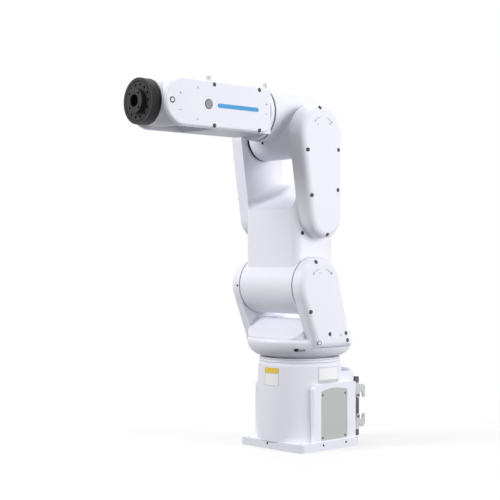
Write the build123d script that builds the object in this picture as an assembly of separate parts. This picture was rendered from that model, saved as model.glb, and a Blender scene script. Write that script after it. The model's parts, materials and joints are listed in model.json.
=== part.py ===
from build123d import *
import os
from math import atan2, cos, degrees, hypot, pi, radians, sin, sqrt

os.makedirs("parts", exist_ok=True)

# Six-axis industrial robot arm, standing on its base plate.
# +X is forward, +Y is the arm's left, +Z is up, and the origin is on the
# base axis at floor level. All sizes are in millimetres.

# Kinematic sizes: where the six joint axes run.
shoulder_offset = 45.0
shoulder_height = 360.0
upper_arm_length = 330.0
forearm_rise = 45.0
forearm_reach = 345.0
flange_reach = 80.0

# Running clearances between bodies.
shadow_gap = 1.5
seat_gap = 0.3
swing_clearance = 5.0

# Base.
plate_front = 93.0
plate_rear = 95.0
plate_half_width = 98.0
plate_thickness = 17.5
plate_corner = 12.0
base_bolt_pitch = 160.0
base_bolt_hole = 11.0
base_foot_radius = 97.0
base_top_radius = 93.5
base_body_top = 184.0
box_front = 49.0
box_rear = 85.0
box_half_width = 93.0
box_top = 143.0
box_corner = 11.0
back_box_half_width = 80.0
back_box_top = 166.0
back_panel_thickness = 7.0
back_panel_top = 173.0
back_panel_chamfer = 12.0
side_panel_front = 27.0
side_panel_rear = 57.0
side_panel_bottom = 20.5
side_panel_shoulder = 128.0
side_panel_crown = 134.0
side_panel_depth = 3.0
side_panel_recess = 0.8
neck_radius = 90.5
neck_top = 200.0
bearing_radius = 74.0

# Connector on the back panel, placed towards the left side.
connector_side = 48.0
connector_middle = 84.0
connector_length = 98.0
connector_width = 44.0
connector_depth = 30.0
connector_wall = 3.0
connector_flange_length = 120.0
connector_flange_width = 56.0
connector_flange_thickness = 5.0
insert_depth = 14.0
lever_pin_radius = 3.0
lever_pin_spacing = 48.0
lever_pin_depth = 24.0
lever_pin_clearance = 0.15
lever_thickness = 2.5
lever_eye_radius = 6.0
lever_heel_reach = 13.0
lever_heel_rise = 14.0
lever_heel_radius = 11.0
lever_prong_reach = 20.0
lever_prong_drop = 2.0
lever_prong_radius = 4.0
lever_slot_reach = 10.5
lever_slot_rise = 4.0
lever_slot_width = 8.0
lever_handle_rise = 36.0
lever_handle_lean = 5.0
lever_handle_size = 13.0

# Turret.
turret_radius = 118.0
turret_bottom_fillet = 35.0
turret_rim = 245.0
turret_rim_fillet = 9.0
saddle_top = 286.0
saddle_front = 52.0
saddle_rear = -44.0
saddle_round = 10.0
ear_radius = 63.0
ear_inner = 84.5
ear_seam = 97.0
ear_foot_front = 63.0
ear_foot_rear = -50.0
ear_foot_height = 236.0
shoulder_cover_outer = 114.0
shoulder_cover_bottom = 225.0
shoulder_cover_front = 58.0
shoulder_cover_rear = -53.0
shoulder_cover_crown = 14.0

# Upper arm.
shoulder_barrel_radius = 63.0
column_front = 94.0
column_rear = -28.0
column_half_width = 83.0
column_corner = 20.0
heel_height = 440.0
column_top = 590.0
tine_inner = 76.0
tine_boss_face = 73.0
tine_boss_radius = 54.0
tine_end_radius = 64.0
tine_foot_x = 32.0
tine_foot_height = 514.0
tine_foot_radius = 50.0
arm_cover_outer = 117.0
arm_cover_crown = 15.0
fork_floor_front = 527.0
fork_floor_rear = 587.0
fork_floor_corner = 20.0

# Elbow.
elbow_barrel_radius = 50.0
elbow_radius = 60.0
elbow_rear = -30.0
elbow_rear_round = 25.0
elbow_front = 133.0

# Forearm.
forearm_half_height = 49.0
forearm_half_width = 56.0
forearm_corner = 14.0
forearm_neck_radius = 59.0
forearm_neck_length = 12.0
forearm_cover_outer = 62.5
forearm_cover_crown = 5.0
forearm_cover_rear = 150.0
forearm_cover_corner = 20.0
wrist_pocket_inner = 50.5
wrist_pocket_depth = 66.0
wrist_pocket_floor = 16.0
wrist_pocket_flare = 27.0
fitting_front = 311.0
fitting_rear = 151.0
fitting_side = 44.0
fitting_radius = 5.0
fitting_height = 11.0

# Wrist and tool flange.
wrist_radius = 47.0
wrist_barrel_radius = 46.0
wrist_front = 46.0
disc_back = 47.5
disc_radius = 47.0
disc_thickness = 22.5
groove_radius = 40.4
groove_width = 1.6
groove_depth = 2.0
hub_radius = 25.0
hub_length = 10.0
hub_bore = 25.0
tool_circle = 40.0
tool_hole = 5.0
tool_hole_depth = 10.0
hub_bore_depth = 14.0

# Places that follow from the sizes above.
elbow_height = shoulder_height + upper_arm_length
forearm_height = elbow_height + forearm_rise
wrist_x = shoulder_offset + forearm_reach
disc_front_x = wrist_x + flange_reach - hub_length
hub_front_x = wrist_x + flange_reach
turret_bottom = neck_top + 2 * shadow_gap


def side_slab(outline, y_low, y_high):
    # An outline drawn as (X, Z) becomes a slab between two Y planes.
    frame = Plane(origin=(0, y_high, 0), x_dir=(1, 0, 0), z_dir=(0, -1, 0))
    return extrude(frame * outline, amount=y_high - y_low)


def y_cylinder(x, z, radius, y_low, y_high):
    return side_slab(Pos(x, z) * Circle(radius), y_low, y_high)


def x_cylinder(y, z, radius, x_low, x_high):
    frame = Plane(origin=(x_low, y, z), x_dir=(0, 1, 0), z_dir=(1, 0, 0))
    return extrude(frame * Circle(radius), amount=x_high - x_low)


def z_cylinder(x, y, radius, z_low, z_high):
    return Pos(x, y, z_low) * Cylinder(radius, z_high - z_low, align=(Align.CENTER, Align.CENTER, Align.MIN))


def block(x_low, x_high, y_low, y_high, z_low, z_high):
    size = (x_high - x_low, y_high - y_low, z_high - z_low)
    return Pos(x_low, y_low, z_low) * Box(*size, align=(Align.MIN, Align.MIN, Align.MIN))


def other_side(piece):
    return mirror(piece, about=Plane.XZ)


def both_sides(piece):
    return piece + other_side(piece)


def outer_edges(piece, y):
    # Edges of the face of a left-hand piece that looks outward.
    face = piece.faces().filter_by(Axis.Y).sort_by(Axis.Y)[-1]
    return face.edges()


# Base casting: plate, round body, flat-sided boxes and the box behind.
def make_base_casting():
    length = plate_front + plate_rear
    plate = extrude(
        Pos((plate_front - plate_rear) / 2, 0) * RectangleRounded(length, 2 * plate_half_width, plate_corner),
        amount=plate_thickness,
    )
    half = base_bolt_pitch / 2
    for x in (-half, half):
        for y in (-half, half):
            plate -= z_cylinder(x, y, base_bolt_hole / 2, 0, plate_thickness)
    body = Pos(0, 0, plate_thickness) * Cone(
        base_foot_radius, base_top_radius, base_body_top - plate_thickness,
        align=(Align.CENTER, Align.CENTER, Align.MIN),
    )
    beyond = 2 * base_foot_radius
    body -= both_sides(side_slab(side_box_outline(), box_half_width, beyond))
    body -= block(
        -beyond, -box_rear, -back_box_half_width, back_box_half_width, plate_thickness, back_panel_top + 1,
    )
    side_box = side_slab(side_box_outline(), -box_half_width, box_half_width)
    back_box = block(
        -box_rear, 0, -back_box_half_width, back_box_half_width, plate_thickness, back_box_top,
    )
    casting = plate + body + side_box + back_box
    return casting - both_sides(side_panel(0, side_panel_depth))


def side_box_outline():
    corner_x = box_front - box_corner
    corner_z = box_top - box_corner
    edge = Polyline(
        (corner_x, box_top), (-box_rear, box_top), (-box_rear, plate_thickness), (box_front, plate_thickness),
        (box_front, corner_z),
    )
    round_corner = RadiusArc((box_front, corner_z), (corner_x, box_top), -box_corner)
    return make_face(edge + round_corner)


def side_panel_outline():
    front, rear = side_panel_front, -side_panel_rear
    middle = (front + rear) / 2
    rim = Polyline(
        (rear, side_panel_shoulder), (rear, side_panel_bottom), (front, side_panel_bottom),
        (front, side_panel_shoulder),
    )
    arch = ThreePointArc((front, side_panel_shoulder), (middle, side_panel_crown), (rear, side_panel_shoulder))
    return make_face(rim + arch)


def side_panel(recess, depth):
    outer = box_half_width - recess
    return side_slab(side_panel_outline(), box_half_width - depth, outer)


def make_side_panel():
    return side_panel(side_panel_recess, side_panel_depth)


def make_back_panel():
    low = plate_thickness + 1.0
    outline = Polyline(
        (-back_box_half_width, low), (back_box_half_width, low),
        (back_box_half_width, back_panel_top - back_panel_chamfer),
        (back_box_half_width - back_panel_chamfer, back_panel_top),
        (back_panel_chamfer - back_box_half_width, back_panel_top),
        (-back_box_half_width, back_panel_top - back_panel_chamfer),
        close=True,
    )
    frame = Plane(origin=(-box_rear, 0, 0), x_dir=(0, -1, 0), z_dir=(-1, 0, 0))
    return extrude(frame * make_face(outline), amount=back_panel_thickness)


def make_neck_ring():
    ring = z_cylinder(0, 0, neck_radius, base_body_top, neck_top)
    return ring


# Heavy-duty connector: flange and shell, contact insert and two locking levers.
connector_face = -(box_rear + back_panel_thickness)
pin_x = connector_face - lever_pin_depth
pin_z = connector_middle + lever_pin_spacing / 2
lever_inner = connector_width / 2 + seat_gap
lever_outer = lever_inner + lever_thickness


def make_connector_housing():
    half_width = connector_width / 2
    half_length = connector_length / 2
    flange_face = connector_face - connector_flange_thickness
    rim = connector_face - connector_depth
    flange = block(
        flange_face, connector_face, -connector_flange_width / 2, connector_flange_width / 2,
        connector_middle - connector_flange_length / 2, connector_middle + connector_flange_length / 2,
    )
    flange = fillet(flange.edges().filter_by(Axis.X), 6)
    shell = block(
        rim, connector_face, -half_width, half_width, connector_middle - half_length,
        connector_middle + half_length,
    )
    shell = fillet(shell.edges().filter_by(Axis.X), 5)
    hollow = block(
        rim, flange_face, connector_wall - half_width, half_width - connector_wall,
        connector_middle - half_length + connector_wall, connector_middle + half_length - connector_wall,
    )
    hollow = fillet(hollow.edges().filter_by(Axis.X), 2)
    housing = flange + shell - hollow
    pin = y_cylinder(pin_x, pin_z, lever_pin_radius, half_width, lever_outer + 1.5)
    pins = both_sides(pin)
    pins += mirror(pins, about=Plane.XY.offset(connector_middle))
    return Pos(0, connector_side, 0) * (housing + pins)


def make_connector_insert():
    x_high = connector_face - connector_flange_thickness
    half_width = connector_width / 2 - connector_wall - seat_gap
    half_length = connector_length / 2 - connector_wall - seat_gap
    insert = block(
        x_high - insert_depth, x_high, -half_width, half_width, connector_middle - half_length,
        connector_middle + half_length,
    )
    insert = fillet(insert.edges().filter_by(Axis.X), 2)
    return Pos(0, connector_side, 0) * insert


def lever_outline():
    def spot(reach, rise, radius):
        return Pos(pin_x - reach, pin_z + rise) * Circle(radius)

    eye = spot(0, 0, lever_eye_radius)
    heel = spot(lever_heel_reach, lever_heel_rise, lever_heel_radius)
    prong = spot(lever_prong_reach, -lever_prong_drop, lever_prong_radius)
    arm = spot(-lever_handle_lean, lever_handle_rise, lever_handle_size / 2)
    slot_top = spot(lever_slot_reach, lever_slot_rise, lever_slot_width / 2)
    slot_mouth = spot(lever_slot_reach, lever_slot_rise - 2 * lever_heel_radius, lever_slot_width / 2)
    plate = make_hull(eye.edges() + arm.edges())
    plate += make_hull(eye.edges() + heel.edges())
    plate += make_hull(heel.edges() + prong.edges())
    plate -= make_hull(slot_top.edges() + slot_mouth.edges())
    plate -= spot(0, 0, lever_pin_radius + lever_pin_clearance)
    return plate


def make_lever(side):
    # The upper lever is drawn and the lower one is its mirror image.
    cheek = side_slab(lever_outline(), lever_inner, lever_outer)
    grip = Pos(pin_x + lever_handle_lean, pin_z + lever_handle_rise)
    handle = side_slab(
        grip * RectangleRounded(lever_handle_size, lever_handle_size, 3), -lever_outer, lever_outer)
    lever = Pos(0, connector_side, 0) * (both_sides(cheek) + handle)
    if side < 0:
        lever = mirror(lever, about=Plane.XY.offset(connector_middle))
    return lever


# Turret: round bowl, saddle under the shoulder and two ears.
def ear_outline():
    top = Pos(shoulder_offset, shoulder_height) * Circle(ear_radius)
    foot = Line((ear_foot_front, ear_foot_height), (ear_foot_rear, ear_foot_height))
    return make_hull(top.edges() + foot.edges())


def shoulder_cover_outline():
    top = Pos(shoulder_offset, shoulder_height) * Circle(ear_radius)
    knees = Line((ear_foot_front, ear_foot_height), (ear_foot_rear, ear_foot_height))
    foot = Line((shoulder_cover_front, shoulder_cover_bottom), (shoulder_cover_rear, shoulder_cover_bottom))
    return make_hull(top.edges() + knees.edges() + foot.edges())


def make_turret_casting():
    bowl = z_cylinder(0, 0, turret_radius, turret_bottom, turret_rim)
    bowl = fillet(bowl.edges().sort_by(Axis.Z)[0], turret_bottom_fillet)
    bowl = fillet(bowl.edges().sort_by(Axis.Z)[-1], turret_rim_fillet)
    rise = saddle_top - turret_rim
    saddle_line = Polyline(
        (saddle_rear - rise, turret_rim), (saddle_rear, saddle_top), (saddle_front, saddle_top),
        (saddle_front + rise, turret_rim), (0, turret_rim - 20), close=True,
    )
    saddle = side_slab(make_face(saddle_line), -ear_inner - 1, ear_inner + 1)
    saddle &= z_cylinder(0, 0, turret_radius - 2.0, turret_bottom, saddle_top + 1)
    ear = side_slab(ear_outline(), ear_inner, ear_seam)
    boss = y_cylinder(shoulder_offset, shoulder_height, 40, ear_inner - shadow_gap + seat_gap, ear_inner)
    turret = bowl + saddle + both_sides(ear + boss)
    pocket = side_slab(shoulder_cover_outline(), ear_seam, turret_radius + 10)
    turret -= both_sides(pocket)
    bearing = z_cylinder(0, 0, bearing_radius, neck_top + seat_gap, turret_bottom + 5)
    return turret + bearing


def make_shoulder_cover():
    cover = side_slab(shoulder_cover_outline(), ear_seam, shoulder_cover_outer)
    return fillet(outer_edges(cover, shoulder_cover_outer), shoulder_cover_crown)


# Upper arm: shoulder barrel, column and fork.
def pill_outline():
    top = Pos(shoulder_offset, elbow_height) * Circle(tine_end_radius)
    foot = Pos(tine_foot_x, tine_foot_height) * Circle(tine_foot_radius)
    return make_hull(top.edges() + foot.edges())


def column_prism(z_low, z_high):
    middle = (column_front + column_rear) / 2
    section = Pos(middle, 0, z_low) * RectangleRounded(
        column_front - column_rear, 2 * column_half_width, column_corner)
    return extrude(section, amount=z_high - z_low)


def make_upper_arm_casting():
    barrel = y_cylinder(
        shoulder_offset, shoulder_height, shoulder_barrel_radius, -column_half_width, column_half_width)
    round_end = Pos(shoulder_offset, shoulder_height) * Circle(shoulder_barrel_radius)
    heel_line = Line((column_rear, heel_height), (shoulder_offset, heel_height))
    heel = side_slab(
        make_hull(round_end.edges() + heel_line.edges()), -column_half_width, column_half_width)
    heel &= column_prism(shoulder_height - shoulder_barrel_radius, heel_height)
    column = column_prism(shoulder_height + 20, column_top)
    arm = barrel + heel + column
    arm += both_sides(side_slab(pill_outline(), tine_inner, ear_seam))
    arm -= fork_cutter()
    boss = y_cylinder(shoulder_offset, elbow_height, tine_boss_radius, tine_boss_face, tine_inner + 2)
    return arm + both_sides(boss)


def fork_cutter():
    run = column_front - column_rear
    rise = fork_floor_rear - fork_floor_front
    slope = degrees(atan2(rise, run))
    cutter = block(-300, 300, -tine_inner, tine_inner, 0, 400)
    lower = cutter.edges().filter_by(Axis.X).group_by(Axis.Z)[0]
    cutter = fillet(lower, fork_floor_corner)
    return Pos(column_front, 0, fork_floor_front) * Rot(0, slope, 0) * cutter


def make_arm_cover():
    cover = side_slab(pill_outline(), ear_seam, arm_cover_outer)
    return fillet(outer_edges(cover, arm_cover_outer), arm_cover_crown)


# Elbow: cross barrel on the elbow axis and the forearm drive housing above it.
def make_elbow_casting():
    reach = tine_boss_face - shadow_gap
    barrel = y_cylinder(shoulder_offset, elbow_height, elbow_barrel_radius, -reach, reach)
    housing = x_cylinder(0, forearm_height, elbow_radius, elbow_rear, elbow_front - shadow_gap)
    housing = fillet(housing.edges().sort_by(Axis.X)[0], elbow_rear_round)
    elbow = barrel + housing
    pad = y_cylinder(shoulder_offset, elbow_height, 34, reach, tine_boss_face - seat_gap)
    front_pad = x_cylinder(0, forearm_height, 40, elbow_front - shadow_gap - 1, elbow_front - seat_gap)
    return elbow + both_sides(pad) + front_pad


# Forearm: round neck, slab body and the wrist fork.
def forearm_outline(inset):
    half = forearm_half_height - inset
    end = Pos(wrist_x, forearm_height) * Circle(half)
    root = Line((elbow_front + forearm_neck_length, forearm_height - half),
                (elbow_front + forearm_neck_length, forearm_height + half))
    return make_hull(end.edges() + root.edges())


def make_forearm_casting():
    neck = x_cylinder(0, forearm_height, forearm_neck_radius, elbow_front, elbow_front + forearm_neck_length)
    body = side_slab(forearm_outline(0), -forearm_half_width, forearm_half_width)
    pocket = side_slab(wrist_pocket_outline(), -wrist_pocket_inner, wrist_pocket_inner)
    return neck + body - pocket


def wrist_pocket_outline():
    # The floor is narrow at mid-height and flares, so that the disc's rim can swing past it.
    mouth = wrist_x + 2 * forearm_half_height
    floor = wrist_x - wrist_pocket_depth
    flare = floor - wrist_pocket_flare
    low = forearm_height - wrist_pocket_floor / 2
    high = forearm_height + wrist_pocket_floor / 2
    bottom = forearm_height - forearm_half_height - swing_clearance
    top = forearm_height + forearm_half_height + swing_clearance
    return make_face(Polyline(
        (mouth, bottom), (flare, bottom), (floor, low), (floor, high), (flare, top), (mouth, top), close=True,
    ))


def make_forearm_cover():
    rear = forearm_cover_rear
    half = forearm_half_height - 1.0
    end = Pos(wrist_x, forearm_height) * Circle(half)
    corners = [
        (Pos(rear + forearm_cover_corner, forearm_height + k * (half - forearm_cover_corner))
         * Circle(forearm_cover_corner)) for k in (-1, 1)
    ]
    outline = make_hull(end.edges() + corners[0].edges() + corners[1].edges())
    cover = side_slab(outline, forearm_half_width, forearm_cover_outer)
    return fillet(outer_edges(cover, forearm_cover_outer), forearm_cover_crown)


def make_air_fitting(x):
    top = forearm_height + forearm_half_height
    return z_cylinder(x, fitting_side, fitting_radius, top, top + fitting_height)


# Wrist: cross barrel between the forearm tines and the drum that carries the flange.
def make_wrist_casting():
    half = wrist_pocket_inner - shadow_gap
    barrel = y_cylinder(wrist_x, forearm_height, wrist_barrel_radius, -half, half)
    drum = x_cylinder(0, forearm_height, wrist_radius, wrist_x, wrist_x + wrist_front)
    pads = both_sides(y_cylinder(wrist_x, forearm_height, 30, half, wrist_pocket_inner - seat_gap))
    front = x_cylinder(
        0, forearm_height, 36, wrist_x + wrist_front, wrist_x + disc_back - seat_gap)
    return barrel + drum + pads + front


def make_flange_disc():
    back_x = wrist_x + disc_back
    disc = x_cylinder(0, forearm_height, disc_radius, back_x, disc_front_x)
    groove = x_cylinder(0, forearm_height, groove_radius, disc_front_x - groove_depth, disc_front_x + 1)
    groove -= x_cylinder(
        0, forearm_height, groove_radius - groove_width, disc_front_x - groove_depth, disc_front_x + 1)
    return disc - groove


def make_tool_hub():
    hub = x_cylinder(0, forearm_height, hub_radius, disc_front_x, hub_front_x)
    bore = x_cylinder(0, forearm_height, hub_bore / 2, disc_front_x - 1, hub_front_x + 1)
    hub -= bore
    for k in range(4):
        angle = radians(45 + 90 * k)
        hub -= x_cylinder(
            tool_circle / 2 * cos(angle), forearm_height + tool_circle / 2 * sin(angle), tool_hole / 2,
            disc_front_x - 1, hub_front_x + 1,
        )
    return hub


shoulder_cover = make_shoulder_cover()
arm_cover = make_arm_cover()
forearm_cover = make_forearm_cover()
side_panel_left = make_side_panel()
pieces = {
    "base_casting": make_base_casting(),
    "base_neck_ring": make_neck_ring(),
    "side_panel_left": side_panel_left,
    "side_panel_right": other_side(side_panel_left),
    "back_panel": make_back_panel(),
    "connector_housing": make_connector_housing(),
    "connector_insert": make_connector_insert(),
    "connector_lever_upper": make_lever(1),
    "connector_lever_lower": make_lever(-1),
    "turret_casting": make_turret_casting(),
    "shoulder_cover_left": shoulder_cover,
    "shoulder_cover_right": other_side(shoulder_cover),
    "upper_arm_casting": make_upper_arm_casting(),
    "arm_cover_left": arm_cover,
    "arm_cover_right": other_side(arm_cover),
    "elbow_casting": make_elbow_casting(),
    "forearm_casting": make_forearm_casting(),
    "forearm_cover_left": forearm_cover,
    "forearm_cover_right": other_side(forearm_cover),
    "air_fitting_front": make_air_fitting(fitting_front),
    "air_fitting_rear": make_air_fitting(fitting_rear),
    "wrist_casting": make_wrist_casting(),
    "flange_disc": make_flange_disc(),
    "tool_hub": make_tool_hub(),
}
for name, piece in pieces.items():
    export_step(piece, f"parts/{name}.step")
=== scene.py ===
import json
import math

import bmesh
import bpy
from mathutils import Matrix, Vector

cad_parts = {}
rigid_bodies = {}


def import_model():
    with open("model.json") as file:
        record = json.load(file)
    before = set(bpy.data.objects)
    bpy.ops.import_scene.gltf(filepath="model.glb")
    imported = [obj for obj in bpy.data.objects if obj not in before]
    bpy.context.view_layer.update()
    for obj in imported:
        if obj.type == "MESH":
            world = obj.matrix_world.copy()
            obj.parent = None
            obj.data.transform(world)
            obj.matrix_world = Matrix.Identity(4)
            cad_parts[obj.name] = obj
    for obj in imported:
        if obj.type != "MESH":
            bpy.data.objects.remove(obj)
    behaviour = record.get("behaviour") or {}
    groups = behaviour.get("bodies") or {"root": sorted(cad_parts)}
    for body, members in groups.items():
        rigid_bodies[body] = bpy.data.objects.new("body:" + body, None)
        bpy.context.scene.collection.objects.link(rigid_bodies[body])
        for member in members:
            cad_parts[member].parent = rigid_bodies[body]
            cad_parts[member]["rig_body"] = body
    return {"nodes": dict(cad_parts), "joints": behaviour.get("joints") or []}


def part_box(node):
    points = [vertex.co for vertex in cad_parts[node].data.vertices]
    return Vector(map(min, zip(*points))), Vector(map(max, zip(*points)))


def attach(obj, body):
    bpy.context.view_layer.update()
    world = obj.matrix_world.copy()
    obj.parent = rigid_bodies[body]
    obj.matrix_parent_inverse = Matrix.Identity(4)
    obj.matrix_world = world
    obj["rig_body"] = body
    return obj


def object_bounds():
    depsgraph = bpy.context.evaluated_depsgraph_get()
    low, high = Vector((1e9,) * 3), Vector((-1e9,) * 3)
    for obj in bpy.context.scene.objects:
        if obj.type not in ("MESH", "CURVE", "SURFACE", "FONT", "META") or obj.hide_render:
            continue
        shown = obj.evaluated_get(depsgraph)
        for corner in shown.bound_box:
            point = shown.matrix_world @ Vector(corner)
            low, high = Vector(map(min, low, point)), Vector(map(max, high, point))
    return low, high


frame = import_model()
cadLow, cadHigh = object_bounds()
nodes = frame["nodes"]
mm = 0.001
print("stage: frame loaded,", len(nodes), "solids")

cameraSettings = {
    "place": Vector((1.949, 1.919, 0.4287)),
    "yaw": 46.9,
    "pitch": 0.2,
    "lens": 87.2,
    "sensor": 36.0,
    "picture": 500,
    "clip": (0.05, 60.0),
}


def aimCamera(settings):
    # The view of the photograph, worked out from its perspective.
    yaw, pitch = math.radians(settings["yaw"]), math.radians(settings["pitch"])
    forward = Vector((-math.cos(yaw) * math.cos(pitch), -math.sin(yaw) * math.cos(pitch), math.sin(pitch)))
    data = bpy.data.cameras.new("photoCamera")
    data.lens = settings["lens"]
    data.sensor_width = settings["sensor"]
    data.clip_start, data.clip_end = settings["clip"]
    camera = bpy.data.objects.new("photoCamera", data)
    camera.location = settings["place"]
    camera.rotation_mode = "QUATERNION"
    camera.rotation_quaternion = forward.to_track_quat("-Z", "Y")
    bpy.context.scene.collection.objects.link(camera)
    bpy.context.scene.camera = camera
    return camera


camera = aimCamera(cameraSettings)
bpy.context.view_layer.update()


def sightLine(pixel):
    # Direction from the camera through a point of the photograph.
    half = cameraSettings["picture"] / 2
    focal = cameraSettings["lens"] / cameraSettings["sensor"] * cameraSettings["picture"]
    local = Vector(((pixel[0] - half) / focal, (half - pixel[1]) / focal, -1.0))
    return (camera.rotation_quaternion @ local).normalized()


def spotAt(pixel):
    # The nearest solid on that line: its node, the point and the way it faces.
    start, line = cameraSettings["place"], sightLine(pixel)
    best = None
    for name, node in nodes.items():
        found, place, facing, _ = node.ray_cast(start, line)
        if found and (best is None or (place - start).length < (best[1] - start).length):
            best = (name, place.copy(), facing.normalized())
    if best is None:
        raise ValueError(f"no solid lies behind {pixel}")
    return best


def spotFrom(name, start, line):
    # Where a line from outside meets one solid.
    found, place, facing, _ = nodes[name].ray_cast(Vector(start), Vector(line))
    if not found:
        raise ValueError(f"the line from {start} misses {name}")
    return name, place.copy(), facing.normalized()


def otherSide(spot):
    name, place, facing = spot
    return name, Vector((place.x, -place.y, place.z)), Vector((facing.x, -facing.y, facing.z))


# Finishes

def printed(red, green, blue):
    # A colour as it looks on a screen, in the shader's own linear numbers.
    def straight(value):
        value /= 255
        return value / 12.92 if value <= 0.04045 else ((value + 0.055) / 1.055) ** 2.4
    return (straight(red), straight(green), straight(blue), 1.0)


class Wire:
    # A socket of a shader tree that can stand in a sum.
    def __init__(self, look, socket):
        self.look = look
        self.socket = socket

    def worked(self, operation, first, second=0.0):
        return self.look.node("ShaderNodeMath", {"operation": operation}, {0: first, 1: second})

    def __add__(self, other):
        return self.worked("ADD", self, other)

    def __sub__(self, other):
        return self.worked("SUBTRACT", self, other)

    def __rsub__(self, other):
        return self.worked("SUBTRACT", other, self)

    def __mul__(self, other):
        return self.worked("MULTIPLY", self, other)

    def __pow__(self, other):
        return self.worked("POWER", self, other)

    def above(self, edge):
        return self.worked("GREATER_THAN", self, edge)

    def larger(self, other):
        return self.worked("MAXIMUM", self, other)

    def distance(self):
        return self.worked("ABSOLUTE", self)

    def sine(self):
        return self.worked("SINE", self)


class Look:
    # A shader tree, with one way of adding a node to it.
    def __init__(self, tree):
        self.tree = tree
        tree.nodes.clear()

    def node(self, kind, settings, sockets, out=0):
        made = self.tree.nodes.new(kind)
        for key, value in settings.items():
            setattr(made, key, value)
        for key, value in sockets.items():
            if isinstance(value, Wire):
                self.tree.links.new(value.socket, made.inputs[key])
            else:
                made.inputs[key].default_value = value
        return Wire(self, made.outputs[out]) if made.outputs else None

    def place(self):
        return self.node("ShaderNodeTexCoord", {}, {}, "Object")

    def noise(self, scale, detail=2.0):
        sockets = {"Vector": self.place(), "Scale": scale, "Detail": detail}
        return self.node("ShaderNodeTexNoise", {}, sockets, 0)

    def mixed(self, share, first, second):
        settings = {"data_type": "RGBA"}
        return self.node("ShaderNodeMix", settings, {0: share, 6: first, 7: second}, 2)

    def relief(self, height, strength, depth):
        sockets = {"Height": height, "Strength": strength, "Distance": depth}
        return self.node("ShaderNodeBump", {}, sockets, "Normal")

    def close(self, sockets):
        shader = self.node("ShaderNodeBsdfPrincipled", {}, sockets, "BSDF")
        self.node("ShaderNodeOutputMaterial", {}, {"Surface": shader})


def newFinish(name):
    material = bpy.data.materials.new(name)
    material.use_nodes = True
    return material, Look(material.node_tree)


paintSettings = {
    "cool": printed(229, 230, 241),
    "warm": printed(234, 234, 242),
    "roughness": 0.4,
    "roughnessDrift": 0.08,
    "cloudScale": 7.0,
    "cloudDetail": 3.0,
    "peelScale": 700.0,
    "peelDetail": 1.0,
    "peelDepth": 0.04 * mm,
    "peelStrength": 0.25,
    "coat": 0.12,
    "coatRoughness": 0.16,
}


def whitePaintFinish(settings):
    # Semi-gloss powder coat with a slight orange peel.
    material, look = newFinish("whitePaint")
    cloud = look.noise(settings["cloudScale"], settings["cloudDetail"])
    peel = look.noise(settings["peelScale"], settings["peelDetail"])
    look.close({
        "Base Color": look.mixed(cloud, settings["cool"], settings["warm"]),
        "Roughness": cloud * settings["roughnessDrift"] + settings["roughness"],
        "Coat Weight": settings["coat"],
        "Coat Roughness": settings["coatRoughness"],
        "Normal": look.relief(peel, settings["peelStrength"], settings["peelDepth"]),
    })
    return material


grainSettings = {"darker": 0.86, "roughnessDrift": 0.12, "relief": 0.3}


def grainedFinish(name, colour, roughness, grain, depth, metallic=0.0, shine=0.5):
    # An even colour with a fine grain, for moulded plastic, blasted metal and print, and also for painted
    # shade in recesses, holes and gaps.
    material, look = newFinish(name)
    spots = look.noise(grain)
    darker = tuple(part * grainSettings["darker"] for part in colour[:3]) + (1.0,)
    drift = grainSettings["roughnessDrift"]
    look.close({
        "Base Color": look.mixed(spots, colour, darker),
        "Roughness": spots * drift + (roughness - drift / 2),
        "Metallic": metallic,
        "Specular IOR Level": shine,
        "Normal": look.relief(spots, grainSettings["relief"], depth),
    })
    return material


flangeSettings = {
    "colour": printed(28, 28, 30),
    "worn": printed(42, 42, 44),
    "roughness": 0.46,
    "shine": 0.22,
    "roughnessDrift": 0.1,
    "turningPitch": 0.9 * mm,
    "turningDepth": 0.03 * mm,
    "turningRelief": 0.2,
    "blotchScale": 60.0,
    "blotchDetail": 3.0,
    "blotchShare": 0.6,
    "ringShare": 0.2,
}


def turnedFlangeFinish(settings):
    # Black anodised metal with the fine rings that a lathe leaves round the wrist axis.
    material, look = newFinish("blackFlange")
    discLow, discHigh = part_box("flange_disc")
    parts = look.tree.nodes.new("ShaderNodeSeparateXYZ")
    look.tree.links.new(look.place().socket, parts.inputs[0])
    side, height = Wire(look, parts.outputs["Y"]), Wire(look, parts.outputs["Z"])
    lift = height - (discLow.z + discHigh.z) / 2
    radius = (side * side + lift * lift) ** 0.5
    rings = (radius * (2 * math.pi / settings["turningPitch"])).sine() * 0.5 + 0.5
    blotch = look.noise(settings["blotchScale"], settings["blotchDetail"])
    wear = blotch * settings["blotchShare"] + rings * settings["ringShare"]
    look.close({
        "Base Color": look.mixed(wear, settings["colour"], settings["worn"]),
        "Roughness": blotch * settings["roughnessDrift"] + settings["roughness"],
        "Specular IOR Level": settings["shine"],
        "Normal": look.relief(rings, settings["turningRelief"], settings["turningDepth"]),
    })
    return material


labelSettings = {
    "paper": printed(240, 240, 242),
    "line": printed(192, 194, 200),
    "strip": printed(196, 198, 202),
    "border": 0.46,
    "roughness": 0.42,
    "coat": 0.2,
}


def labelFinish(name, paper, mark, stripHeight):
    # A blank sticker: a thin border line and, where it has one, a plain strip along its foot.
    material, look = newFinish(name)
    sheet = look.node("ShaderNodeUVMap", {}, {}, "UV")
    parts = look.tree.nodes.new("ShaderNodeSeparateXYZ")
    look.tree.links.new(sheet.socket, parts.inputs[0])
    across, up = Wire(look, parts.outputs["X"]), Wire(look, parts.outputs["Y"])
    edge = (across - 0.5).distance().larger((up - 0.5).distance()).above(labelSettings["border"])
    foot = (1 - up).above(1 - stripHeight)
    look.close({
        "Base Color": look.mixed(edge.larger(foot), paper, mark),
        "Roughness": labelSettings["roughness"],
        "Coat Weight": labelSettings["coat"],
    })
    return material


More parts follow.
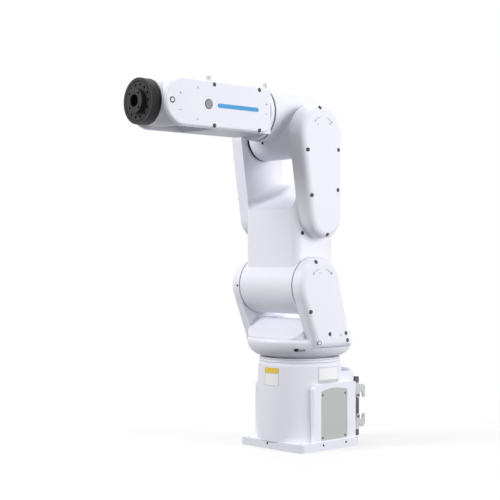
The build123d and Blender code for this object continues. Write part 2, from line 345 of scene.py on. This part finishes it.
finishes = {
    "whitePaint": whitePaintFinish(paintSettings),
    "greyPanel": grainedFinish("greyPanel", printed(190, 193, 190), 0.5, 500.0, 0.03 * mm),
    "darkPlastic": grainedFinish("darkPlastic", printed(86, 88, 92), 0.55, 700.0, 0.05 * mm),
    "leverMetal": grainedFinish("leverMetal", printed(205, 206, 206), 0.38, 400.0, 0.02 * mm, 0.25),
    "fittingPlastic": grainedFinish("fittingPlastic", printed(206, 207, 212), 0.4, 400.0, 0.02 * mm),
    "blackFlange": turnedFlangeFinish(flangeSettings),
    "screwSteel": grainedFinish("screwSteel", printed(112, 113, 117), 0.32, 900.0, 0.01 * mm, 0.85),
    # Painted shade: near black for recesses, counterbores, holes and joint gaps.
    "recessShade": grainedFinish("recessShade", printed(28, 29, 32), 0.6, 500.0, 0.02 * mm, shine=0.15),
    # Painted shade: black for the unlit depth of the hub's bore and the flange's holes.
    "boreBlack": grainedFinish("boreBlack", printed(8, 8, 9), 0.8, 500.0, 0.02 * mm, shine=0.0),
    # A mid grey for the round cap's face, also used as painted shade in the two groove lines round the neck.
    "plugGrey": grainedFinish("plugGrey", printed(150, 152, 158), 0.5, 500.0, 0.02 * mm),
    # A mid grey for printed marks, also used as painted shade in the small screws' rims and the lifting
    # recess's tail.
    "markGrey": grainedFinish("markGrey", printed(158, 160, 170), 0.5, 500.0, 0.01 * mm),
    "blueStripe": grainedFinish("blueStripe", printed(70, 158, 216), 0.4, 500.0, 0.01 * mm),
    "contactMetal": grainedFinish("contactMetal", printed(198, 180, 120), 0.3, 900.0, 0.01 * mm, 0.9),
    "yellowLabel": labelFinish("yellowLabel", printed(228, 198, 62), printed(206, 176, 50), 0.0),
    "whiteLabel": labelFinish("whiteLabel", labelSettings["paper"], labelSettings["line"], 0.0),
    "ratingLabel": labelFinish("ratingLabel", labelSettings["paper"], labelSettings["strip"], 0.22),
}

nodeFinish = {
    "side_panel_left": "greyPanel", "side_panel_right": "greyPanel",
    "connector_housing": "darkPlastic", "connector_insert": "darkPlastic",
    "connector_lever_upper": "leverMetal", "connector_lever_lower": "leverMetal",
    "air_fitting_front": "fittingPlastic", "air_fitting_rear": "fittingPlastic",
    "flange_disc": "blackFlange", "tool_hub": "blackFlange",
}
for name, node in nodes.items():
    node.data.materials.clear()
    node.data.materials.append(finishes[nodeFinish.get(name, "whitePaint")])
print("stage: finishes made,", len(finishes))


# Small pieces

def addPiece(name, mesh, body, finish=None):
    piece = bpy.data.objects.new(name, mesh)
    bpy.context.scene.collection.objects.link(piece)
    if finish:
        mesh.materials.clear()
        mesh.materials.append(finishes[finish])
    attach(piece, body)
    return piece


def meshFrom(name, work):
    bmesh.ops.recalc_face_normals(work, faces=work.faces)
    mesh = bpy.data.meshes.new(name)
    work.to_mesh(mesh)
    work.free()
    return mesh


def bodyOf(spot):
    return nodes[spot[0]]["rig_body"]


def treeNode(tree, kind, settings, sockets):
    made = tree.nodes.new(kind)
    for key, value in settings.items():
        setattr(made, key, value)
    for key, value in sockets.items():
        if isinstance(value, bpy.types.NodeSocket):
            tree.links.new(value, made.inputs[key])
        else:
            made.inputs[key].default_value = value
    return next(socket for socket in made.outputs if socket.enabled)


screwSides = {"head": 20, "socket": 6, "rim": 24}


def screwTree():
    # Socket-head screws in a rim of painted shade, one on each point, each along the way its point faces.
    tree = bpy.data.node_groups.new("screwHeads", "GeometryNodeTree")
    kinds = {
        "Spots": "NodeSocketGeometry", "Head Radius": "NodeSocketFloat", "Head Height": "NodeSocketFloat",
        "Socket Radius": "NodeSocketFloat", "Rim Radius": "NodeSocketFloat",
        "Rim Height": "NodeSocketFloat", "Steel": "NodeSocketMaterial", "Shade": "NodeSocketMaterial",
    }
    names = {
        key: tree.interface.new_socket(key, in_out="INPUT", socket_type=kind).identifier
        for key, kind in kinds.items()
    }
    tree.interface.new_socket("Screws", in_out="OUTPUT", socket_type="NodeSocketGeometry")
    given = tree.nodes.new("NodeGroupInput").outputs
    head = treeNode(tree, "GeometryNodeMeshCylinder", {}, {
        "Vertices": screwSides["head"], "Radius": given["Head Radius"], "Depth": given["Head Height"],
    })
    key = treeNode(tree, "GeometryNodeMeshCylinder", {}, {
        "Vertices": screwSides["socket"], "Radius": given["Socket Radius"], "Depth": given["Head Height"],
    })
    half = treeNode(tree, "ShaderNodeMath", {"operation": "MULTIPLY"}, {0: given["Head Height"], 1: 0.5})
    lift = treeNode(tree, "ShaderNodeCombineXYZ", {}, {"Z": half})
    key = treeNode(tree, "GeometryNodeTransform", {}, {"Geometry": key, "Translation": lift})
    head = treeNode(tree, "GeometryNodeMeshBoolean", {"operation": "DIFFERENCE"}, {0: head, 1: key})
    head = treeNode(tree, "GeometryNodeTransform", {}, {"Geometry": head, "Translation": lift})
    rim = treeNode(tree, "GeometryNodeMeshCylinder", {}, {
        "Vertices": screwSides["rim"], "Radius": given["Rim Radius"], "Depth": given["Rim Height"],
    })
    rim = treeNode(tree, "GeometryNodeSetMaterial", {}, {"Geometry": rim, "Material": given["Shade"]})
    screw = tree.nodes.new("GeometryNodeJoinGeometry")
    tree.links.new(head, screw.inputs[0])
    tree.links.new(rim, screw.inputs[0])
    facing = treeNode(
        tree, "GeometryNodeInputNamedAttribute", {"data_type": "FLOAT_VECTOR"}, {"Name": "facing"})
    turn = treeNode(tree, "FunctionNodeAlignRotationToVector", {"axis": "Z"}, {"Vector": facing})
    screws = treeNode(tree, "GeometryNodeInstanceOnPoints", {}, {
        "Points": given["Spots"], "Instance": screw.outputs[0], "Rotation": turn,
    })
    real = treeNode(tree, "GeometryNodeRealizeInstances", {}, {"Geometry": screws})
    shaded = treeNode(tree, "GeometryNodeMaterialSelection", {}, {"Material": given["Shade"]})
    bright = treeNode(tree, "FunctionNodeBooleanMath", {"operation": "NOT"}, {0: shaded})
    done = treeNode(tree, "GeometryNodeSetMaterial", {}, {
        "Geometry": real, "Selection": bright, "Material": given["Steel"],
    })
    tree.links.new(done, tree.nodes.new("NodeGroupOutput").inputs[0])
    return tree, names


screwNodes, screwInputs = screwTree()


def placeScrews(name, spots, sizes):
    # One mesh of screws for each body that carries some of the spots.
    groups = {}
    for spot in spots:
        groups.setdefault(bodyOf(spot), []).append(spot)
    for body, members in groups.items():
        points = bpy.data.meshes.new(name)
        points.from_pydata([place for _, place, _ in members], [], [])
        facing = points.attributes.new("facing", "FLOAT_VECTOR", "POINT")
        facing.data.foreach_set("vector", [part for _, _, way in members for part in way])
        piece = bpy.data.objects.new(f"{name}_{body}", points)
        bpy.context.scene.collection.objects.link(piece)
        modifier = piece.modifiers.new("screws", "NODES")
        modifier.node_group = screwNodes
        values = {
            "Head Radius": sizes["head"], "Head Height": sizes["height"], "Socket Radius": sizes["socket"],
            "Rim Radius": sizes["rim"], "Rim Height": sizes["rimHeight"],
            "Steel": finishes[sizes["finish"]], "Shade": finishes[sizes["shade"]],
        }
        for key, value in values.items():
            modifier[screwInputs[key]] = value
        ready = piece.evaluated_get(bpy.context.evaluated_depsgraph_get())
        mesh = bpy.data.meshes.new_from_object(ready)
        piece.modifiers.clear()
        piece.data = mesh
        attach(piece, body)


coverScrews = {
    "head": 2.3 * mm, "height": 0.9 * mm, "socket": 1.4 * mm, "rim": 4.3 * mm, "rimHeight": 0.5 * mm,
    "finish": "screwSteel", "shade": "recessShade",
    "seen": [
        (316, 262), (311, 312), (330, 334), (346, 333), (347.5, 340),
        (320, 107.5), (308, 149.5), (312, 195), (338.5, 150), (338, 190), (327.5, 234.5),
        (302.5, 233), (214.5, 84.5), (214.5, 125.5), (259.5, 90), (259.5, 130.5),
    ],
}
smallScrews = {
    "head": 1.5 * mm, "height": 0.5 * mm, "socket": 0.9 * mm, "rim": 2.0 * mm, "rimHeight": 0.3 * mm,
    "finish": "fittingPlastic", "shade": "markGrey",
    "seen": [(198, 87.5), (197.5, 119)],
}
for name, group in {"coverScrews": coverScrews, "smallScrews": smallScrews}.items():
    seen = [spotAt(pixel) for pixel in group["seen"]]
    placeScrews(name, seen + [otherSide(spot) for spot in seen], group)
print("stage: cover screws placed")

# Where a line towards a face starts: close outside it, or clear of the whole base.
standOff, baseStandOff = 0.05, 0.2

panelScrews = {
    "head": 1.9 * mm, "height": 0.7 * mm, "socket": 1.1 * mm, "rim": 2.5 * mm, "rimHeight": 0.4 * mm,
    "finish": "screwSteel", "shade": "recessShade",
    "inset": 6.0 * mm, "topDrop": 14.0 * mm,
}


def panelSpots(settings):
    low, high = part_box("side_panel_left")
    spots = []
    for x in (low.x + settings["inset"], high.x - settings["inset"]):
        for z in (low.z + settings["inset"], high.z - settings["topDrop"]):
            spots.append(spotFrom("side_panel_left", (x, high.y + standOff, z), (0, -1, 0)))
    return spots + [otherSide(spot) for spot in spots]


backScrews = dict(panelScrews, topSide=22 * mm, topInset=5.0 * mm)


def backSpots(settings):
    low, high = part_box("back_panel")
    inset = settings["inset"]
    corners = [
        (high.y - inset, low.z + inset),
        (high.y - settings["topSide"] - inset, high.z - settings["topInset"]),
    ]
    spots = [spotFrom("back_panel", (low.x - standOff, y, z), (1, 0, 0)) for y, z in corners]
    return spots + [otherSide(spot) for spot in spots]


placeScrews("panelScrews", panelSpots(panelScrews), panelScrews)
placeScrews("backScrews", backSpots(backScrews), backScrews)

# Dark dots of painted shade for the holes in the base plate's edge.
plateHoles = {
    "head": 1.5 * mm, "height": 0.3 * mm, "socket": 1.0 * mm, "rim": 2.6 * mm, "rimHeight": 0.3 * mm,
    "finish": "recessShade", "shade": "recessShade",
    "side": [(25 * mm, 11.5 * mm), (-47.5 * mm, 11.5 * mm)],
    "front": [(-8 * mm, 11.5 * mm)],
}
edgeSpots = [spotFrom("base_casting", (x, baseStandOff, z), (0, -1, 0)) for x, z in plateHoles["side"]]
edgeSpots += [otherSide(spot) for spot in edgeSpots]
edgeSpots += [spotFrom("base_casting", (baseStandOff, y, z), (-1, 0, 0)) for y, z in plateHoles["front"]]
placeScrews("plateHoles", edgeSpots, plateHoles)

# Black dots of painted shade for the holes round the flange's face.
flangeScrews = {
    "head": 1.7 * mm, "height": 0.3 * mm, "socket": 1.1 * mm, "rim": 2.7 * mm, "rimHeight": 0.2 * mm,
    "finish": "boreBlack", "shade": "boreBlack",
    "count": 14, "circle": 33.0 * mm,
}


def flangeSpots(settings):
    low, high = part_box("flange_disc")
    middle = (low.z + high.z) / 2
    spots = []
    for step in range(settings["count"]):
        angle = 2 * math.pi * step / settings["count"]
        y, z = settings["circle"] * math.cos(angle), middle + settings["circle"] * math.sin(angle)
        spots.append(spotFrom("flange_disc", (high.x + standOff, y, z), (-1, 0, 0)))
    return spots


placeScrews("flangeScrews", flangeSpots(flangeScrews), flangeScrews)

contactPins = {
    "head": 1.1 * mm, "height": 7.0 * mm, "socket": 0.4 * mm, "rim": 1.9 * mm, "rimHeight": 0.4 * mm,
    "finish": "contactMetal", "shade": "recessShade",
    "rows": 10, "pitch": 8.0 * mm, "spread": 6.5 * mm,
}


def contactSpots(settings):
    low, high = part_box("connector_insert")
    middleY, middleZ = (low.y + high.y) / 2, (low.z + high.z) / 2
    spots = []
    for row in range(settings["rows"]):
        z = middleZ + (row - (settings["rows"] - 1) / 2) * settings["pitch"]
        for y in (middleY - settings["spread"], middleY + settings["spread"]):
            spots.append(spotFrom("connector_insert", (low.x - standOff, y, z), (1, 0, 0)))
    return spots


placeScrews("contactPins", contactSpots(contactPins), contactPins)
print("stage: panel screws, flange screws and contacts placed")


def turned(name, profile, spot, finish, steps=40):
    # A round piece on a spot, from (radius, height) pairs that run from its back to its face.
    work = bmesh.new()
    turn = spot[2].to_track_quat("Z", "Y")
    rings = []
    for radius, height in profile:
        if radius == 0:
            rings.append([work.verts.new(spot[1] + turn @ Vector((0, 0, height)))])
            continue
        ring = []
        for step in range(steps):
            angle = 2 * math.pi * step / steps
            point = Vector((radius * math.cos(angle), radius * math.sin(angle), height))
            ring.append(work.verts.new(spot[1] + turn @ point))
        rings.append(ring)
    for first, second in zip(rings, rings[1:]):
        for step in range(steps):
            after = (step + 1) % steps
            corners = [first[step % len(first)], first[after % len(first)]]
            corners += [second[after % len(second)], second[step % len(second)]]
            work.faces.new(list(dict.fromkeys(corners)))
    return addPiece(name, meshFrom(name, work), bodyOf(spot), finish)


plugs = {
    "wristPlug": {
        "pixel": (172.5, 99.5), "radius": 4.1 * mm, "rim": 2.3 * mm, "finish": "whitePaint", "paired": True,
    },
    "footPlug": {
        "pixel": (319.5, 343), "radius": 3.8 * mm, "rim": 1.3 * mm, "finish": "whitePaint", "paired": True,
    },
    # The elbow hole is painted shade: a dark disc in a dark ring on the small white plate.
    "elbowHoleShade": {
        "pixel": (262.5, 143), "radius": 2.2 * mm, "rim": 1.2 * mm, "finish": "recessShade", "paired": False,
    },
    # A dark dot of painted shade at the shoulder's gap.
    "gapShadeDot": {
        "pixel": (237.4, 285.4), "radius": 1.8 * mm, "rim": 0.8 * mm, "finish": "recessShade", "paired": False,
    },
}
plugForm = {"rise": 0.6 * mm, "sunk": 0.4 * mm, "ringRise": 0.4, "edgeRise": 0.7, "faceShare": 0.8}


def placePlug(name, settings, spot):
    # A ring of painted shade round a plug with a chamfered face.
    radius, rise, sunk = settings["radius"], plugForm["rise"], plugForm["sunk"]
    outer, ringTop = radius + settings["rim"], rise * plugForm["ringRise"]
    edge = (radius, rise * plugForm["edgeRise"])
    ring = [(0, -sunk), (outer, -sunk), (outer, ringTop), (0, ringTop)]
    face = [(0, -sunk), (radius, -sunk), edge, (radius * plugForm["faceShare"], rise), (0, rise)]
    turned(name + "Ring", ring, spot, "recessShade")
    turned(name, face, spot, settings["finish"])


for name, settings in plugs.items():
    spot = spotAt(settings["pixel"])
    placePlug(name + "Left", settings, spot)
    if settings["paired"]:
        placePlug(name + "Right", settings, otherSide(spot))

roundWindow = {
    "pixel": (208.8, 104), "ring": 10.3 * mm, "radius": 8.9 * mm, "bowl": 5.0 * mm, "rise": 0.7 * mm,
    "ringRise": 0.5, "edgeRise": 0.8, "faceShare": 0.9, "bowlRise": 0.65, "middleRise": 0.6,
}


def placeRoundWindow(settings):
    # The round grey cap at the middle of the forearm cover: a ring of painted shade and a dished face.
    spot = spotAt(settings["pixel"])
    ring, radius, bowl, rise = (settings[key] for key in ("ring", "radius", "bowl", "rise"))
    ringTop = rise * settings["ringRise"]
    turned("forearmCapRing", [(0, -rise), (ring, -rise), (ring, ringTop), (0, ringTop)], spot, "recessShade")
    face = [
        (0, -rise), (radius, -rise), (radius, rise * settings["edgeRise"]),
        (radius * settings["faceShare"], rise), (bowl, rise * settings["bowlRise"]),
        (0, rise * settings["middleRise"]),
    ]
    turned("forearmCap", face, spot, "plugGrey")


placeRoundWindow(roundWindow)

boreShade = {"depth": 5 * mm, "play": 0.15 * mm, "thick": 1 * mm}


def placeBoreShade(settings):
    # The unlit depth of the hub's bore, its radius found on the hub itself.
    low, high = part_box("tool_hub")
    centre = Vector((high.x - settings["depth"], (low.y + high.y) / 2, (low.z + high.z) / 2))
    _, wall, _ = spotFrom("tool_hub", centre, (0, 1, 0))
    radius = (wall - centre).length - settings["play"]
    disc = [(0, -settings["thick"]), (radius, -settings["thick"]), (radius, 0), (0, 0)]
    turned("boreShade", disc, ("tool_hub", centre, Vector((1, 0, 0))), "boreBlack")


placeBoreShade(boreShade)
print("stage: plugs placed")


cornerSteps = 6


def flatPlate(name, spot, width, height, corner, thickness, finish, shift=(0.0, 0.0), lean=0.0):
    # A thin rounded plate flat on a spot; its long side runs level, turned by lean degrees.
    facing = spot[2]
    level = Vector((0, 0, 1)).cross(facing).normalized()
    rise = facing.cross(level)
    turnBy = math.radians(lean)
    along = level * math.cos(turnBy) + rise * math.sin(turnBy)
    across = facing.cross(along)
    middle = spot[1] + along * shift[0] + across * shift[1]
    outline = []
    for cornerX, cornerY, start in ((1, 1, 0), (-1, 1, 90), (-1, -1, 180), (1, -1, 270)):
        for step in range(cornerSteps + 1):
            angle = math.radians(start + 90 / cornerSteps * step)
            outline.append((
                cornerX * (width / 2 - corner) + corner * math.cos(angle),
                cornerY * (height / 2 - corner) + corner * math.sin(angle),
            ))
    work = bmesh.new()
    layers = []
    for offset in (-thickness, thickness):
        layers.append([work.verts.new(middle + along * x + across * y + facing * offset) for x, y in outline])
    count = len(outline)
    work.faces.new(layers[1])
    work.faces.new(list(reversed(layers[0])))
    for step in range(count):
        after = (step + 1) % count
        work.faces.new((layers[0][step], layers[0][after], layers[1][after], layers[1][step]))
    return addPiece(name, meshFrom(name, work), bodyOf(spot), finish)


elbowTag = {
    "pixel": plugs["elbowHoleShade"]["pixel"], "width": 14 * mm, "height": 10 * mm, "corner": 1.5 * mm,
    "rise": 0.15 * mm,
}
flatPlate("elbowTag", spotAt(elbowTag["pixel"]), elbowTag["width"], elbowTag["height"], elbowTag["corner"],
          elbowTag["rise"], "whitePaint")

# Painted shade of a drop-shaped recess in the turret's rim: a dark mouth that runs out in a lighter tail.
liftingRecess = {
    "tail": {
        "pixel": (301.8, 350.5), "width": 17 * mm, "height": 5.4 * mm, "rise": 0.3 * mm, "finish": "markGrey",
    },
    "mouth": {
        "pixel": (296.5, 350.2), "width": 11.5 * mm, "height": 7.4 * mm, "rise": 0.4 * mm,
        "finish": "recessShade",
    },
}
recessRound, recessLean = 0.49, 3.0
for name, settings in liftingRecess.items():
    flatPlate(name + "OfRecess", spotAt(settings["pixel"]), settings["width"], settings["height"],
              settings["height"] * recessRound, settings["rise"], settings["finish"], lean=recessLean)

stripeSettings = {
    "pixel": (238.5, 107.8), "width": 116 * mm, "height": 9 * mm, "corner": 4.4 * mm, "rise": 0.15 * mm,
}
flatPlate("plainStripe", spotAt(stripeSettings["pixel"]), stripeSettings["width"], stripeSettings["height"],
          stripeSettings["corner"], stripeSettings["rise"], "blueStripe")

# The rounding of a stroke's ends, as a share of its thickness.
strokeRound = 0.4

directionMarks = {
    "long": 6.0 * mm, "thick": 1.3 * mm, "rise": 0.12 * mm,
    "minus": [(320, 273), (318, 124), (180.5, 109.5), (331, 336), (266.5, 114)],
    "plus": [(332, 273), (330, 124), (180.5, 92.5), (341, 335), (266.5, 104.5)],
}


def placeMarks(settings):
    # Plain plus and minus signs for the two ways that a joint turns.
    for sign in ("minus", "plus"):
        for step, pixel in enumerate(settings[sign]):
            spot = spotAt(pixel)
            for lean in (0, 90) if sign == "plus" else (0,):
                flatPlate(f"{sign}Mark{step}_{lean}", spot, settings["long"], settings["thick"],
                          settings["thick"] * strokeRound, settings["rise"], "markGrey", lean=lean)


placeMarks(directionMarks)


def wrappedLabel(name, settings, finish):
    # A thin label that follows the round base: a grid of points found on the casting itself.
    _, centre, _ = spotAt(settings["pixel"])
    turn, radius = math.atan2(centre.y, centre.x), math.hypot(centre.x, centre.y)
    columns, rows, far = 12, 6, 0.3
    work = bmesh.new()
    sheetMap = work.loops.layers.uv.new("labelMap")
    face, back = [], []
    for row in range(rows + 1):
        z = centre.z + (row / rows - 0.5) * settings["height"]
        for column in range(columns + 1):
            angle = turn + (column / columns - 0.5) * settings["width"] / radius
            outward = Vector((math.cos(angle), math.sin(angle), 0))
            start = outward * far + Vector((0, 0, z))
            _, place, facing = spotFrom("base_casting", start, -outward)
            face.append(work.verts.new(place + facing * settings["thick"]))
            back.append(work.verts.new(place - facing * settings["thick"]))
    wide = columns + 1
    places = {}
    for index in range(len(face)):
        share = ((index % wide) / columns, (index // wide) / rows)
        places[face[index]] = places[back[index]] = share
    for row in range(rows):
        for column in range(columns):
            first = row * wide + column
            square = (first, first + 1, first + wide + 1, first + wide)
            work.faces.new([face[index] for index in square])
            work.faces.new([back[index] for index in reversed(square)])
    rim = [*range(wide), *range(2 * wide - 1, len(face), wide)]
    rim += [*range(len(face) - 2, len(face) - 1 - wide, -1), *range(len(face) - 2 * wide, 0, -wide)]
    for step in range(len(rim)):
        first, second = rim[step], rim[(step + 1) % len(rim)]
        work.faces.new((back[first], back[second], face[second], face[first]))
    for corner in (loop for flat in work.faces for loop in flat.loops):
        corner[sheetMap].uv = places[corner.vert]
    return addPiece(name, meshFrom(name, work), "base", finish)


labels = {
    "yellowLabel": {"pixel": (271.1, 370.4), "width": 42 * mm, "height": 11.8 * mm, "thick": 0.12 * mm},
    "whiteLabel": {"pixel": (271.1, 379.6), "width": 42 * mm, "height": 26.5 * mm, "thick": 0.10 * mm},
    "ratingLabel": {"pixel": (330.1, 374.9), "width": 66 * mm, "height": 35 * mm, "thick": 0.10 * mm},
}
for name, settings in labels.items():
    wrappedLabel(name, settings, name)
print("stage: labels and marks placed")


pivots = {joint["name"]: Vector(joint["pos_m"]) for joint in frame["joints"]}
# Rings of painted shade: near black at the gaps of the forearm, elbow and shoulder joints, grey for two small
# grooves round the neck.
shadeRings = {
    "forearmGapShade": {
        "node": "forearm_casting", "middle": pivots["forearm_turn"], "facing": Vector((1, 0, 0)),
        "offsets": [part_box("forearm_casting")[0].x + 0.1 * mm], "radius": 59.15 * mm, "width": 2.2 * mm,
    },
    "elbowGapShade": {
        "node": "elbow_casting", "middle": pivots["elbow_swing"], "facing": Vector((0, 1, 0)),
        "offsets": [-71.4 * mm, 65.6 * mm], "radius": 50.15 * mm, "width": 5.8 * mm,
    },
    "shoulderGapShade": {
        "node": "upper_arm_casting", "middle": pivots["shoulder_swing"], "facing": Vector((0, 1, 0)),
        "offsets": [-82.9 * mm, 81.7 * mm], "radius": 63.12 * mm, "width": 1.2 * mm,
    },
    "neckLine": {
        "node": "base_neck_ring", "middle": pivots["base_turn"], "facing": Vector((0, 0, 1)),
        "offsets": [190.5 * mm, 196.5 * mm], "radius": 90.58 * mm, "width": 0.8 * mm, "finish": "plugGrey",
    },
}
shadeRingSteps = 120


def placeShadeRings(settings, name):
    # Thin discs that show as a ring of painted shade at a joint's gap or round the neck; an offset runs along
    # the axis from the origin's level.
    facing, radius, width = settings["facing"], settings["radius"], settings["width"]
    for step, offset in enumerate(settings["offsets"]):
        middle = settings["middle"] - facing * settings["middle"].dot(facing) + facing * offset
        profile = [(0, 0), (radius, 0), (radius, width), (0, width)]
        finish = settings.get("finish", "recessShade")
        turned(f"{name}{step}", profile, (settings["node"], middle, facing), finish, steps=shadeRingSteps)


for name, settings in shadeRings.items():
    placeShadeRings(settings, name)

gripSettings = {
    "bar": 13 * mm, "sleeve": 14 * mm, "corner": 3.2 * mm, "half": 25.2 * mm,
    "levers": {"upperGrip": "connector_lever_upper", "lowerGrip": "connector_lever_lower"},
}


def placeGrips(settings):
    # Dark sleeves on the cross bars of the two locking levers.
    half = settings["bar"] / 2
    for side, name in settings["levers"].items():
        low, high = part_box(name)
        z = high.z - half if side == "upperGrip" else low.z + half
        spot = (name, Vector((high.x - half, (low.y + high.y) / 2, z)), Vector((0, 1, 0)))
        flatPlate(side, spot, settings["sleeve"], settings["sleeve"], settings["corner"], settings["half"],
                  "darkPlastic")


placeGrips(gripSettings)
print("stage: seals and grips placed")

turnSigns = {
    "elbowSign": {"joint": "elbow_swing", "pixel": (322, 128), "radius": 36 * mm},
    "shoulderSign": {"joint": "shoulder_swing", "pixel": (326, 280), "radius": 38 * mm},
}
# Angles in degrees: where an arrow starts from upright, one of its dashes, and its head's spread.
turnStroke = {
    "thick": 1.2 * mm, "rise": 0.12 * mm, "start": 22, "dash": 9, "dashes": 3, "head": 5.5 * mm, "flare": 34,
}


def placeTurnSign(name, sign):
    # Two curved arrows over a joint's middle, pointing to either side.
    thick, rise, dash = turnStroke["thick"], turnStroke["rise"], turnStroke["dash"]
    node, seen, _ = spotAt(sign["pixel"])
    pivot, radius = pivots[sign["joint"]], sign["radius"]

    def stroke(label, angle, length, lean, shift):
        turn = math.radians(angle)
        place = Vector((pivot.x + radius * math.cos(turn), seen.y, pivot.z + radius * math.sin(turn)))
        flatPlate(label, (node, place, Vector((0, 1, 0))), length, thick, thick * strokeRound, rise,
                  "markGrey", (shift, 0.0), 90 - angle + lean)

    for side, way in ((-1, "Fore"), (1, "Back")):
        for step in range(turnStroke["dashes"]):
            angle = 90 + side * (turnStroke["start"] + dash * step)
            stroke(f"{name}{way}{step}", angle, radius * math.radians(dash) + thick, 0, 0.0)
        tip = 90 + side * (turnStroke["start"] + dash * turnStroke["dashes"])
        for flare in (-1, 1):
            stroke(f"{name}{way}Head{flare + 1}", tip, turnStroke["head"], flare * turnStroke["flare"],
                   -side * turnStroke["head"] / 2)


for name, sign in turnSigns.items():
    placeTurnSign(name, sign)
print("stage: turning signs placed")


# Studio

studioSettings = {
    "floorSize": 30.0,
    "floorColour": (0.12, 0.12, 0.13, 1.0),
    "paleColour": (0.92, 0.92, 0.92, 1.0),
    "shadowShare": 0.45,
    "shadowReach": 1.2,
    "ambient": 0.27,
}


def seenOnly(look):
    # One for what the camera, a mirror or glass sees directly, and nought for light on the object.
    rays = look.tree.nodes.new("ShaderNodeLightPath")
    seen = [Wire(look, rays.outputs[kind]) for kind in
            ("Is Camera Ray", "Is Glossy Ray", "Is Transmission Ray")]
    return seen[0].larger(seen[1]).larger(seen[2])


def makeFloor(settings):
    # White where the camera looks past the object, and pale matt near it, so that its shadow shows.
    half = settings["floorSize"] / 2
    mesh = bpy.data.meshes.new("studioFloor")
    corners = [(-half, -half, 0), (half, -half, 0), (half, half, 0), (-half, half, 0)]
    mesh.from_pydata(corners, [], [(0, 1, 2, 3)])
    floor = bpy.data.objects.new("studioFloor", mesh)
    bpy.context.scene.collection.objects.link(floor)
    material, look = newFinish("studioFloor")
    matt = look.node("ShaderNodeBsdfDiffuse", {}, {"Color": settings["floorColour"]})
    pale = look.node("ShaderNodeBsdfDiffuse", {}, {"Color": settings["paleColour"]})
    white = look.node("ShaderNodeEmission", {}, {"Color": (1, 1, 1, 1), "Strength": 1.0})
    reach = look.node("ShaderNodeVectorMath", {"operation": "LENGTH"}, {0: look.place()}, "Value")
    near = (1 - reach * (1 / settings["shadowReach"])).larger(0.0)
    seen = look.node("ShaderNodeMixShader", {}, {0: near * settings["shadowShare"], 1: white, 2: pale})
    surface = look.node("ShaderNodeMixShader", {}, {0: seenOnly(look), 1: matt, 2: seen})
    look.node("ShaderNodeOutputMaterial", {}, {"Surface": surface})
    mesh.materials.append(material)


def makeWorld(settings):
    world = bpy.data.worlds.new("studioWorld")
    world.use_nodes = True
    bpy.context.scene.world = world
    look = Look(world.node_tree)
    strength = seenOnly(look) * (1 - settings["ambient"]) + settings["ambient"]
    sky = look.node("ShaderNodeBackground", {}, {"Color": (1, 1, 1, 1), "Strength": strength})
    look.node("ShaderNodeOutputWorld", {}, {"Surface": sky})


# A lamp that isn't mirrored lights the paint without a glare on the covers.
lamps = {
    "keyLamp": {"place": (2.6, -1.2, 2.0), "size": 1.5, "power": 76.0, "mirrored": True},
    "sideLamp": {"place": (-1.1, 2.8, 1.1), "size": 1.8, "power": 79.0, "mirrored": False},
    "fillLamp": {"place": (2.4, 2.4, 0.4), "size": 1.6, "power": 28.0, "mirrored": False},
    "topLamp": {"place": (-0.2, -0.3, 2.6), "size": 1.6, "power": 16.0, "mirrored": True},
    "backLamp": {"place": (-1.7, -2.0, 1.5), "size": 1.6, "power": 20.0, "mirrored": True},
}


def hangLamp(name, settings):
    data = bpy.data.lights.new(name, "AREA")
    data.size = settings["size"]
    data.energy = settings["power"]
    lamp = bpy.data.objects.new(name, data)
    lamp.location = settings["place"]
    target = (cadLow + cadHigh) / 2
    lamp.rotation_mode = "QUATERNION"
    lamp.rotation_quaternion = (target - lamp.location).to_track_quat("-Z", "Y")
    lamp.visible_glossy = settings["mirrored"]
    bpy.context.scene.collection.objects.link(lamp)


makeFloor(studioSettings)
makeWorld(studioSettings)
for name, settings in lamps.items():
    hangLamp(name, settings)
bpy.context.scene.view_settings.view_transform = "Standard"
print("stage: studio lit")
